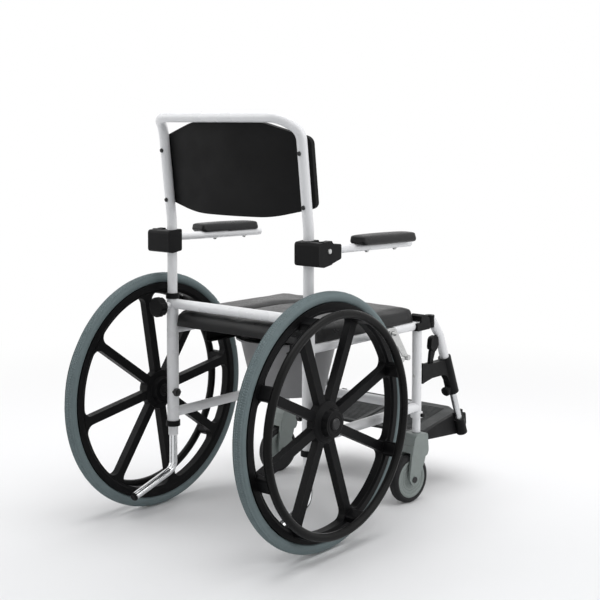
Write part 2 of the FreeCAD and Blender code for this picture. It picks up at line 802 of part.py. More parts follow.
def leg_hinge():
    # Clamp at the foot of the leg, side bar, end lugs and hinge pin.
    x = plate_hinge_x
    length = plate_length
    bar = side_slab([(0, -13), (-length + 24, -53), (-length - 3, -38), (-length - 4, -4),
                     (-length + 30, 10), (-length + 140, 10), (0, 6)],
                    [5, 14, 12, 8, 8, 20, 5], x + 8.5, x + 17)
    lugs = [box((x - 6, -11, -6), (x + 10, 0, 6)),
            box((x - 6, -length, -6), (x + 10, -length + 11, 6))]
    pin = rod(Vector(x, 0, 0), Vector(x, -length, 0), 4)
    bar = plate_frame(bar.fuse(lugs + [pin]))
    clamp = rod(leg_point(leg_tube_foot + 34), leg_point(leg_tube_foot - 8), 15)
    bore = rod(leg_point(leg_tube_foot + 50), leg_point(leg_tube_foot), leg_tube_radius)
    bar = bar.cut(rod(leg_point(leg_tube_foot + 50), leg_point(leg_tube_foot - 4), 15))
    return clamp.fuse(bar).cut(bore).removeSplitter()


def footplate():
    x = plate_hinge_x
    length = plate_length
    half = plate_thickness / 2
    points = [Vector(x - 5, -14, -half), Vector(x - 5, -length + 14, -half),
              Vector(x - 12, -length + 12.2, -half), Vector(x - 40, -length - 8, -half),
              Vector(plate_inner_x, -length - 8, -half), Vector(plate_inner_x, 2, -half),
              Vector(x - 17, 2, -half), Vector(x - 12, -12.2, -half)]
    plate = slab(points, [1, 1, 2, 26, 8, 8, 6, 2], up * plate_thickness)
    barrel = rod(Vector(x, -12.5, 0), Vector(x, -length + 12.5, 0), 7)
    plate = plate.fuse(barrel)
    for row in range(rib_count):
        y = -14 - row * rib_pitch
        plate = plate.fuse(box((plate_inner_x + 12, y - 2, half - 0.5),
                               (x - 40, y, half + 1.2)))
    plate = plate.removeSplitter()
    hole = rod(Vector(x, 5, 0), Vector(x, -length - 5, 0), 4 + running_clearance)
    return plate_frame(plate.cut(hole))


# ---------------------------------------------------------------- knobs and wheel locks

def star_knob(base, axis, radius, height, lobes):
    # A disc whose edge is scooped between its lobes.
    body = turned([(0, 0), (radius - 2, 0), (radius, 3), (radius, height - 3),
                   (radius - 3, height), (0, height)], base, axis)
    side_on = axis.cross(across).normalize()
    for index in range(lobes):
        angle = 360.0 * (index + 0.5) / lobes
        outward = Rotation(axis, angle).multVec(side_on)
        start = base + outward * (radius * 1.12) - axis
        body = body.cut(rod(start, start + axis * (height + 2), radius * 0.26))
    return body


def back_knob():
    start = Vector(post_x, rear_post_y + back_tube_radius + 0.3, knob_z)
    base = Vector(post_x, knob_base_y, knob_z)
    screw = rod(start, base + back, knob_screw_radius)
    return screw.fuse(star_knob(base, back, 25, 21, 7)).removeSplitter()


def lock_bracket():
    # Clip on the upper side rail, with a plate and a pin for the lock lever.
    y = lock_pivot_y
    clip = pipe(Vector(post_x, y - 16, upper_rail_z), Vector(post_x, y + 16, upper_rail_z),
                side_rail_radius + 4, side_rail_radius)
    clip = clip.cut(box((0, y - 20, seat_low - 0.2), (300, y + 20, seat_low + 20)))
    plate = side_slab([(y - 16, lock_pivot_z - 16), (y + 16, lock_pivot_z - 16),
                       (y + 14, lock_pivot_z + 12), (y - 14, lock_pivot_z + 12)], 4,
                      lock_x - 5, lock_x - 1)
    pin_start = Vector(lock_x - 4, y, lock_pivot_z)
    pin = rod(pin_start, pin_start + across * 14, 4)
    return clip.fuse([plate, pin]).removeSplitter()


def lock_lever():
    x = lock_x
    y = lock_pivot_y
    z = lock_pivot_z
    arm = side_slab([(y - 8, z + 8), (y + 9, z + 7), (lock_shoe_y + 8, lock_shoe_z - 6),
                     (lock_shoe_y - 8, lock_shoe_z - 8), (y - 6, z - 26),
                     (lock_tip_y + 7, lock_tip_z - 6), (lock_tip_y - 7, lock_tip_z + 3)],
                    [6, 6, 6, 5, 6, 5, 5], x, x + 4)
    shoe = rod(Vector(x, lock_shoe_y, lock_shoe_z),
               Vector(wheel_plane + 12, lock_shoe_y, lock_shoe_z), 7)
    grip = rod(Vector(x - 6, lock_tip_y, lock_tip_z), Vector(x + 12, lock_tip_y, lock_tip_z), 7)
    pin = Vector(x - 10, y, z)
    lever = arm.fuse([shoe, grip]).removeSplitter()
    return lever.cut(rod(pin, pin + across * 30, 4 + running_clearance))


# Values that depend on the ones above
front_clamp_radius = front_post_radius + 3.5
knob_z = rear_bar_z - 4
knob_base_y = rear_post_y + post_radius + 24
knob_screw_radius = 4.0
leg_screw_radius = 3.0
front_button_z = 328.0
lever_y = swing_y - 2.0
lever_z = 343.0
rib_pitch = 8.0
rib_count = int((plate_length - 24) / rib_pitch)

paired = {
    "tyre": tyre(), "handrim": handrim(), "wheel_bearings": wheel_bearings(),
    "castor_fork": castor_fork(), "castor_stem": castor_stem(),
    "castor_axle": castor_axle(), "castor_core": castor_core(),
    "castor_tyre": castor_tyre(), "arm_tube": arm_tube(), "arm_pad": arm_pad(),
    "hanger_tube": hanger_tube(),
    "hanger_fittings": Part.makeCompound([hanger_barrel(), hanger_lock()]),
    "release_lever": release_lever(), "leg_tube": leg_tube(), "leg_hinge": leg_hinge(),
    "leg_knob": leg_knob(), "footplate": footplate(), "back_knob": back_knob(),
    "brake_lever": lock_lever(),
}
nodes = {
    "rear_posts": rear_posts(), "front_posts": both_sides(front_post()),
    "frame_rails": frame_rails(), "leg_collars": leg_collars(),
    "leg_buttons": both_sides(leg_button()), "inner_legs": inner_legs(),
    "tipping_tubes": both_sides(tipping_tube()), "tipping_plugs": both_sides(tipping_plug()),
    "wheel_axles": both_sides(wheel_axle()), "hanger_sockets": both_sides(hanger_socket()),
    "seat": seat(), "seat_insert": seat_insert(), "pail_rails": both_sides(pail_rail()),
    "pail": pail(), "brake_brackets": both_sides(lock_bracket()),
    "back_frame": back_frame(), "back_panel": back_panel(), "back_screws": back_screws(),
    "arm_brackets": both_sides(arm_bracket()), "arm_pivots": both_sides(arm_pivot()),
    "wheel_l": mag_wheel(spoke_turn_left), "wheel_r": mirrored(mag_wheel(spoke_turn_right)),
}
for name, shape in paired.items():
    for side, placed in (("_l", shape), ("_r", mirrored(shape))):
        if name.startswith("castor"):
            stem_x = post_x if side == "_l" else -post_x
            placed = placed.rotated(Vector(stem_x, front_post_y, 0), up, -castor_turn)
        nodes[name + side] = placed

extent = FreeCAD.BoundBox()
for shape in nodes.values():
    extent.add(shape.optimalBoundingBox(False))
origin_shift = -(extent.YMin + extent.YMax) / 2

os.makedirs("parts", exist_ok=True)
for name, shape in nodes.items():
    shape.translated(Vector(0, origin_shift, 0)).exportStep("parts/" + name + ".step")
print(len(nodes), "nodes", "origin shift", round(origin_shift, 2))
print("size", round(extent.XLength, 1), round(extent.YLength, 1), round(extent.ZLength, 1))
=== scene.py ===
import json
import math

import bmesh
import bpy
from mathutils import Matrix, Vector


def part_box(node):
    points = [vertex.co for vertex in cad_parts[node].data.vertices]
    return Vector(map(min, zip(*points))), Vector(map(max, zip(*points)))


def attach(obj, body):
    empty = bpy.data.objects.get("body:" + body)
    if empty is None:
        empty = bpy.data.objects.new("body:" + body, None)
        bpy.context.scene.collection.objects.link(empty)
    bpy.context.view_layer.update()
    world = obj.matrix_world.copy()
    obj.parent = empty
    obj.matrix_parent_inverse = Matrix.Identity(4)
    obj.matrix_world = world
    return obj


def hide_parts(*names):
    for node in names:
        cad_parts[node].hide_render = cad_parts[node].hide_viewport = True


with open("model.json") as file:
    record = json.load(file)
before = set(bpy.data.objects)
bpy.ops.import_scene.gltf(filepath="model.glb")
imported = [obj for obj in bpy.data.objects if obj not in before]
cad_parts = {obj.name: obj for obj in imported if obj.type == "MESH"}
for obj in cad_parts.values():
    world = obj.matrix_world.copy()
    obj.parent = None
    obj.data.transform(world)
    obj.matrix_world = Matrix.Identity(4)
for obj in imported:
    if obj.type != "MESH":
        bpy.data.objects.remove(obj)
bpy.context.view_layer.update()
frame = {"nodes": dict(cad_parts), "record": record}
cadNodes = frame["nodes"]
print("frame loaded,", len(cadNodes), "nodes")

sides = (("l", 1), ("r", -1))   # the chair's own left is +X


# ---- camera, floor and light

cameraSettings = {
    "place": (-1.9864, 2.3677, 0.9870),
    "heading": (0.6351, -0.7698, -0.0668),
    "roll": 0.06,
    "lens": 73.34,
    "shift": -0.162,
}


def addCamera(settings):
    data = bpy.data.cameras.new("viewCamera")
    data.lens = settings["lens"]
    data.shift_y = settings["shift"]
    data.clip_end = 60
    camera = bpy.data.objects.new("viewCamera", data)
    heading = Vector(settings["heading"]).normalized()
    turn = heading.to_track_quat("-Z", "Y").to_matrix().to_4x4()
    roll = Matrix.Rotation(math.radians(settings["roll"]), 4, "Z")
    camera.matrix_world = Matrix.Translation(settings["place"]) @ turn @ roll
    bpy.context.scene.collection.objects.link(camera)
    bpy.context.scene.camera = camera


studioSettings = {
    "floorHalf": 14.0,
    "floorNearPaintedShade": (0.66, 0.67, 0.68, 1),      # colour of the floor towards the viewer, darkened as painted shade
    "floorFar": (0.86, 0.86, 0.87, 1),
    "depthLine": (0.636, -0.771, 0),         # the way the floor's painted shade and random tone change
    "toneAndShadeSpan": (-1.3, 0.9),
    "farSpan": (0.15, 1.1),
    "fadeSpan": (0.6, 2.6),                  # over these distances the floor turns white
    "white": 1.0,
    "fillStrength": 0.50,
    "lamps": (                               # place, size, power
        ((0.0, 0.0, 3.2), 3.0, 75),
        ((-3.2, -0.9, 1.9), 2.4, 40),
        ((2.8, 2.2, 2.0), 2.4, 32),
    ),
    "aim": (0, 0, 0.45),
}


def addStudio(settings):
    mesh = bpy.data.meshes.new("studioFloor")
    shape = bmesh.new()
    bmesh.ops.create_grid(shape, x_segments=4, y_segments=4, size=settings["floorHalf"])
    shape.to_mesh(mesh)
    shape.free()
    floor = bpy.data.objects.new("studioFloor", mesh)
    bpy.context.scene.collection.objects.link(floor)

    material = bpy.data.materials.new("paleFloor")
    material.use_nodes = True
    nodes, links = material.node_tree.nodes, material.node_tree.links
    shader = nodes["Principled BSDF"]
    shader.inputs["Roughness"].default_value = 0.55
    shader.inputs["Specular IOR Level"].default_value = 0.25
    place = nodes.new("ShaderNodeTexCoord")
    grain = nodes.new("ShaderNodeTexNoise")
    grain.inputs["Scale"].default_value = 1.3
    grain.inputs["Detail"].default_value = 2
    links.new(place.outputs["Object"], grain.inputs["Vector"])
    # Painted shade: the floor's colour darkens towards the viewer along depthLine, with random
    # mottle from the noise.
    depth = nodes.new("ShaderNodeVectorMath")
    depth.operation = "DOT_PRODUCT"
    depth.inputs[1].default_value = settings["depthLine"]
    links.new(place.outputs["Object"], depth.inputs[0])
    sway = nodes.new("ShaderNodeMath")
    sway.operation = "MULTIPLY_ADD"
    sway.inputs[1].default_value = 0.5
    links.new(grain.outputs["Fac"], sway.inputs[0])
    links.new(depth.outputs["Value"], sway.inputs[2])
    shade = nodes.new("ShaderNodeMapRange")
    shade.interpolation_type = "SMOOTHSTEP"
    shade.inputs["From Min"].default_value = settings["toneAndShadeSpan"][0]
    shade.inputs["From Max"].default_value = settings["toneAndShadeSpan"][1]
    links.new(sway.outputs["Value"], shade.inputs["Value"])
    toneAndShadeMix = nodes.new("ShaderNodeMix")
    toneAndShadeMix.data_type = "RGBA"
    toneAndShadeMix.inputs["A"].default_value = settings["floorNearPaintedShade"]
    toneAndShadeMix.inputs["B"].default_value = settings["floorFar"]
    links.new(shade.outputs["Result"], toneAndShadeMix.inputs["Factor"])
    links.new(toneAndShadeMix.outputs["Result"], shader.inputs["Base Color"])

    reach = nodes.new("ShaderNodeVectorMath")
    reach.operation = "LENGTH"
    links.new(place.outputs["Object"], reach.inputs[0])
    fade = nodes.new("ShaderNodeMapRange")
    fade.interpolation_type = "SMOOTHSTEP"
    fade.inputs["From Min"].default_value = settings["fadeSpan"][0]
    fade.inputs["From Max"].default_value = settings["fadeSpan"][1]
    links.new(reach.outputs["Value"], fade.inputs["Value"])
    far = nodes.new("ShaderNodeMapRange")
    far.interpolation_type = "SMOOTHSTEP"
    far.inputs["From Min"].default_value = settings["farSpan"][0]
    far.inputs["From Max"].default_value = settings["farSpan"][1]
    links.new(sway.outputs["Value"], far.inputs["Value"])
    both = nodes.new("ShaderNodeMath")
    both.operation = "MULTIPLY"
    links.new(fade.outputs["Result"], both.inputs[0])
    links.new(far.outputs["Result"], both.inputs[1])
    path = nodes.new("ShaderNodeLightPath")
    seen = nodes.new("ShaderNodeMath")
    seen.operation = "MAXIMUM"
    links.new(path.outputs["Is Camera Ray"], seen.inputs[0])
    links.new(path.outputs["Is Glossy Ray"], seen.inputs[1])
    amount = nodes.new("ShaderNodeMath")
    amount.operation = "MULTIPLY"
    links.new(both.outputs["Value"], amount.inputs[0])
    links.new(seen.outputs["Value"], amount.inputs[1])
    glow = nodes.new("ShaderNodeEmission")
    glow.inputs["Strength"].default_value = settings["white"]
    blend = nodes.new("ShaderNodeMixShader")
    links.new(amount.outputs["Value"], blend.inputs["Fac"])
    links.new(shader.outputs["BSDF"], blend.inputs[1])
    links.new(glow.outputs["Emission"], blend.inputs[2])
    links.new(blend.outputs["Shader"], nodes["Material Output"].inputs["Surface"])
    mesh.materials.append(material)

    world = bpy.data.worlds.new("studioLight")
    world.use_nodes = True
    nodes, links = world.node_tree.nodes, world.node_tree.links
    path = nodes.new("ShaderNodeLightPath")
    seen = nodes.new("ShaderNodeMath")
    seen.operation = "MAXIMUM"
    links.new(path.outputs["Is Camera Ray"], seen.inputs[0])
    links.new(path.outputs["Is Glossy Ray"], seen.inputs[1])
    clear = nodes.new("ShaderNodeMath")
    clear.operation = "MAXIMUM"
    links.new(seen.outputs["Value"], clear.inputs[0])
    links.new(path.outputs["Is Transmission Ray"], clear.inputs[1])
    strength = nodes.new("ShaderNodeMapRange")
    strength.inputs["To Min"].default_value = settings["fillStrength"]
    strength.inputs["To Max"].default_value = settings["white"]
    links.new(clear.outputs["Value"], strength.inputs["Value"])
    links.new(strength.outputs["Result"], nodes["Background"].inputs["Strength"])
    nodes["Background"].inputs["Color"].default_value = (1, 1, 1, 1)
    bpy.context.scene.world = world

    for index, (place, size, power) in enumerate(settings["lamps"]):
        data = bpy.data.lights.new("softbox%d" % (index + 1), "AREA")
        data.size = size
        data.energy = power
        lamp = bpy.data.objects.new(data.name, data)
        lamp.location = place
        aim = Vector(settings["aim"]) - Vector(place)
        lamp.rotation_euler = aim.to_track_quat("-Z", "Y").to_euler()
        bpy.context.scene.collection.objects.link(lamp)


addCamera(cameraSettings)
addStudio(studioSettings)
bpy.context.scene.view_settings.view_transform = "Standard"
print("camera, floor and light ready")


# ---- shader groups that several finishes share

def newGroup(name, inputs, outputs):
    group = bpy.data.node_groups.new(name, "ShaderNodeTree")
    for label, kind, value in inputs:
        socket = group.interface.new_socket(label, in_out="INPUT", socket_type=kind)
        if value is not None:
            socket.default_value = value
    for label, kind in outputs:
        group.interface.new_socket(label, in_out="OUTPUT", socket_type=kind)
    return group, group.nodes.new("NodeGroupInput"), group.nodes.new("NodeGroupOutput")


def addNoise(group, place, scale, detail, roughness=0.55):
    noise = group.nodes.new("ShaderNodeTexNoise")
    noise.inputs["Detail"].default_value = detail
    noise.inputs["Roughness"].default_value = roughness
    group.links.new(place, noise.inputs["Vector"])
    if isinstance(scale, (int, float)):
        noise.inputs["Scale"].default_value = scale
    else:
        group.links.new(scale, noise.inputs["Scale"])
    return noise.outputs["Fac"]


def addMath(group, operation, first, second, third=None):
    math = group.nodes.new("ShaderNodeMath")
    math.operation = operation
    for index, value in enumerate((first, second, third)):
        if value is None:
            continue
        if isinstance(value, (int, float)):
            math.inputs[index].default_value = value
        else:
            group.links.new(value, math.inputs[index])
    return math.outputs["Value"]


def addRange(group, value, fromLow, fromHigh, toLow, toHigh):
    span = group.nodes.new("ShaderNodeMapRange")
    span.clamp = True
    for label, limit in (("From Min", fromLow), ("From Max", fromHigh),
                         ("To Min", toLow), ("To Max", toHigh)):
        if isinstance(limit, (int, float)):
            span.inputs[label].default_value = limit
        else:
            group.links.new(limit, span.inputs[label])
    group.links.new(value, span.inputs["Value"])
    return span.outputs["Result"]


def buildMottle():
    # Soft cloudy change of tone, with gloss that changes with it.
    group, take, give = newGroup(
        "surfaceMottle",
        [("Color", "NodeSocketColor", (0.5, 0.5, 0.5, 1)),
         ("Tone Change", "NodeSocketFloat", 0.1),
         ("Scale", "NodeSocketFloat", 20.0),
         ("Gloss Low", "NodeSocketFloat", 0.3),
         ("Gloss High", "NodeSocketFloat", 0.45)],
        [("Color", "NodeSocketColor"), ("Roughness", "NodeSocketFloat")])
    place = group.nodes.new("ShaderNodeTexCoord").outputs["Object"]
    cloud = addNoise(group, place, take.outputs["Scale"], 4)
    specks = addNoise(group, place, addMath(group, "MULTIPLY", take.outputs["Scale"], 9), 2)
    mixed = addMath(group, "ADD", addMath(group, "MULTIPLY", cloud, 0.7),
                    addMath(group, "MULTIPLY", specks, 0.3))
    lift = addMath(group, "MULTIPLY_ADD", addMath(group, "SUBTRACT", mixed, 0.5),
                   addMath(group, "MULTIPLY", take.outputs["Tone Change"], 4), 1)
    tone = group.nodes.new("ShaderNodeHueSaturation")
    group.links.new(take.outputs["Color"], tone.inputs["Color"])
    group.links.new(lift, tone.inputs["Value"])
    group.links.new(tone.outputs["Color"], give.inputs["Color"])
    gloss = addRange(group, cloud, 0.35, 0.65, take.outputs["Gloss Low"],
                     take.outputs["Gloss High"])
    group.links.new(gloss, give.inputs["Roughness"])
    return group


def buildEdgeWearAndHighlight():
    # Finds the rims and corners, breaks them up and lays a second colour there: wear, and on the
    # black mouldings and wheels a lighter rim that is painted highlight.
    group, take, give = newGroup(
        "edgeWearAndHighlight",
        [("Color", "NodeSocketColor", (0.5, 0.5, 0.5, 1)),
         ("Worn Color", "NodeSocketColor", (0.6, 0.6, 0.6, 1)),
         ("Amount", "NodeSocketFloat", 0.4),
         ("Break Up", "NodeSocketFloat", 60.0)],
        [("Color", "NodeSocketColor"), ("Mask", "NodeSocketFloat")])
    rounded = group.nodes.new("ShaderNodeBevel")
    rounded.samples = 4
    rounded.inputs["Radius"].default_value = 0.0022
    flat = group.nodes.new("ShaderNodeNewGeometry")
    match = group.nodes.new("ShaderNodeVectorMath")
    match.operation = "DOT_PRODUCT"
    group.links.new(rounded.outputs["Normal"], match.inputs[0])
    group.links.new(flat.outputs["Normal"], match.inputs[1])
    rim = addRange(group, match.outputs["Value"], 0.995, 0.86, 0, 1)
    place = group.nodes.new("ShaderNodeTexCoord").outputs["Object"]
    patches = addRange(group, addNoise(group, place, take.outputs["Break Up"], 5), 0.38,
                       0.62, 0, 1)
    mask = addMath(group, "MULTIPLY", addMath(group, "MULTIPLY", rim, patches),
                   take.outputs["Amount"])
    mix = group.nodes.new("ShaderNodeMix")
    mix.data_type = "RGBA"
    group.links.new(mask, mix.inputs["Factor"])
    group.links.new(take.outputs["Color"], mix.inputs["A"])
    group.links.new(take.outputs["Worn Color"], mix.inputs["B"])
    group.links.new(mix.outputs["Result"], give.inputs["Color"])
    group.links.new(mask, give.inputs["Mask"])
    return group


def buildLeatherGrain():
    # Pebbled skin of moulded foam and textured plastic.
    group, take, give = newGroup(
        "pebbleGrain",
        [("Scale", "NodeSocketFloat", 500.0), ("Depth", "NodeSocketFloat", 1.0)],
        [("Height", "NodeSocketFloat"), ("Crease Shade", "NodeSocketFloat")])
    place = group.nodes.new("ShaderNodeTexCoord").outputs["Object"]
    cells = group.nodes.new("ShaderNodeTexVoronoi")
    cells.feature = "DISTANCE_TO_EDGE"
    group.links.new(place, cells.inputs["Vector"])
    group.links.new(take.outputs["Scale"], cells.inputs["Scale"])
    dome = addRange(group, cells.outputs["Distance"], 0.0, 0.22, 0, 1)
    fine = addNoise(group, place, addMath(group, "MULTIPLY", take.outputs["Scale"], 2.2), 3)
    height = addMath(group, "MULTIPLY",
                     addMath(group, "MULTIPLY_ADD", fine, 0.35, dome),
                     take.outputs["Depth"])
    group.links.new(height, give.inputs["Height"])
    # This output darkens the colour in the grain's hollows as painted shade.
    group.links.new(addMath(group, "SUBTRACT", 1, dome), give.inputs["Crease Shade"])
    return group


def buildBrushed():
    # Fine lines along one direction, for drawn and polished metal.
    group, take, give = newGroup(
        "drawnMetal",
        [("Color", "NodeSocketColor", (0.6, 0.6, 0.6, 1)),
         ("Stretch", "NodeSocketVector", (600, 600, 12)),
         ("Gloss Low", "NodeSocketFloat", 0.15),
         ("Gloss High", "NodeSocketFloat", 0.3)],
        [("Color", "NodeSocketColor"), ("Roughness", "NodeSocketFloat"),
         ("Height", "NodeSocketFloat")])
    place = group.nodes.new("ShaderNodeTexCoord").outputs["Object"]
    drawn = group.nodes.new("ShaderNodeVectorMath")
    drawn.operation = "MULTIPLY"
    group.links.new(place, drawn.inputs[0])
    group.links.new(take.outputs["Stretch"], drawn.inputs[1])
    lines = addNoise(group, drawn.outputs["Vector"], 1.0, 4)
    cloud = addNoise(group, place, 45.0, 3)
    tone = group.nodes.new("ShaderNodeHueSaturation")
    group.links.new(take.outputs["Color"], tone.inputs["Color"])
    group.links.new(addRange(group, addMath(group, "ADD", lines, cloud), 0.6, 1.4, 0.88, 1.1),
                    tone.inputs["Value"])
    group.links.new(tone.outputs["Color"], give.inputs["Color"])
    gloss = addRange(group, addMath(group, "MULTIPLY_ADD", lines, 0.5,
                                    addMath(group, "MULTIPLY", cloud, 0.5)), 0.35, 0.65,
                     take.outputs["Gloss Low"], take.outputs["Gloss High"])
    group.links.new(gloss, give.inputs["Roughness"])
    group.links.new(lines, give.inputs["Height"])
    return group


mottle = buildMottle()
edgeWearAndHighlight = buildEdgeWearAndHighlight()
pebbleGrain = buildLeatherGrain()
drawnMetal = buildBrushed()
print("shader groups ready")


# ---- finishes

def newFinish(name):
    material = bpy.data.materials.new(name)
    material.use_nodes = True
    return material, material.node_tree, material.node_tree.nodes["Principled BSDF"]


def place(tree, group, **values):
    node = tree.nodes.new("ShaderNodeGroup")
    node.node_tree = group
    for label, value in values.items():
        node.inputs[label.replace("_", " ")].default_value = value
    return node


def addBump(tree, shader, height, distance, strength=1.0):
    bump = tree.nodes.new("ShaderNodeBump")
    bump.inputs["Distance"].default_value = distance
    bump.inputs["Strength"].default_value = strength
    tree.links.new(height, bump.inputs["Height"])
    tree.links.new(bump.outputs["Normal"], shader.inputs["Normal"])
    return bump


def grainedFinish(name, settings):
    # Moulded plastic, rubber or foam skin: mottled colour, lighter rims (wear, and painted
    # highlight on the black parts), grain creases darkened as painted shade, pebbled bump.
    material, tree, shader = newFinish(name)
    cloud = place(tree, mottle, Color=settings["colour"], Tone_Change=settings["toneChange"],
                  Scale=settings["cloud"], Gloss_Low=settings["gloss"][0],
                  Gloss_High=settings["gloss"][1])
    # Lighter colour at the rims: wear, and on the black parts painted highlight.
    wearAndHighlight = place(tree, edgeWearAndHighlight, Worn_Color=settings["wearAndHighlight"], Amount=settings["wearAndHighlightAmount"],
                 Break_Up=settings.get("breakUp", 60.0))
    tree.links.new(cloud.outputs["Color"], wearAndHighlight.inputs["Color"])
    grain = place(tree, pebbleGrain, Scale=settings["grain"])
    # Painted shade: the base colour is darkened in the grain's creases.
    creaseShade = tree.nodes.new("ShaderNodeMix")
    creaseShade.data_type = "RGBA"
    creaseShade.blend_type = "MULTIPLY"
    creaseShade.inputs["B"].default_value = (0.55, 0.55, 0.55, 1)
    amount = tree.nodes.new("ShaderNodeMath")
    amount.operation = "MULTIPLY"
    amount.inputs[1].default_value = settings.get("crease", 0.35)
    tree.links.new(grain.outputs["Crease Shade"], amount.inputs[0])
    tree.links.new(amount.outputs["Value"], creaseShade.inputs["Factor"])
    tree.links.new(wearAndHighlight.outputs["Color"], creaseShade.inputs["A"])
    tree.links.new(creaseShade.outputs["Result"], shader.inputs["Base Color"])
    tree.links.new(cloud.outputs["Roughness"], shader.inputs["Roughness"])
    addBump(tree, shader, grain.outputs["Height"], settings["depth"])
    shader.inputs["Specular IOR Level"].default_value = settings.get("specular", 0.5)
    shader.inputs["Sheen Weight"].default_value = settings.get("sheen", 0.0)
    shader.inputs["Sheen Roughness"].default_value = 0.4
    return material


def metalFinish(name, settings):
    material, tree, shader = newFinish(name)
    metal = place(tree, drawnMetal, Color=settings["colour"], Stretch=settings["stretch"],
                  Gloss_Low=settings["gloss"][0], Gloss_High=settings["gloss"][1])
    wearAndHighlight = place(tree, edgeWearAndHighlight, Worn_Color=settings["wearAndHighlight"], Amount=settings["wearAndHighlightAmount"])
    tree.links.new(metal.outputs["Color"], wearAndHighlight.inputs["Color"])
    tree.links.new(wearAndHighlight.outputs["Color"], shader.inputs["Base Color"])
    tree.links.new(metal.outputs["Roughness"], shader.inputs["Roughness"])
    addBump(tree, shader, metal.outputs["Height"], settings["depth"])
    shader.inputs["Metallic"].default_value = settings["metallic"]
    return material


def paintedFinish(name, settings):
    # Powder coat: faint orange peel, a clear coat and small chips at the rims.
    material, tree, shader = newFinish(name)
    cloud = place(tree, mottle, Color=settings["colour"], Tone_Change=settings["toneChange"],
                  Scale=settings["cloud"], Gloss_Low=settings["gloss"][0],
                  Gloss_High=settings["gloss"][1])
    wearAndHighlight = place(tree, edgeWearAndHighlight, Worn_Color=settings["wearAndHighlight"], Amount=settings["wearAndHighlightAmount"],
                 Break_Up=140.0)
    tree.links.new(cloud.outputs["Color"], wearAndHighlight.inputs["Color"])
    tree.links.new(wearAndHighlight.outputs["Color"], shader.inputs["Base Color"])
    tree.links.new(cloud.outputs["Roughness"], shader.inputs["Roughness"])
    peel = tree.nodes.new("ShaderNodeTexNoise")
    peel.inputs["Scale"].default_value = settings["peel"]
    peel.inputs["Detail"].default_value = 2
    spot = tree.nodes.new("ShaderNodeTexCoord")
    tree.links.new(spot.outputs["Object"], peel.inputs["Vector"])
    addBump(tree, shader, peel.outputs["Fac"], settings["depth"])
    shader.inputs["Coat Weight"].default_value = settings["coat"]
    shader.inputs["Coat Roughness"].default_value = 0.12
    return material


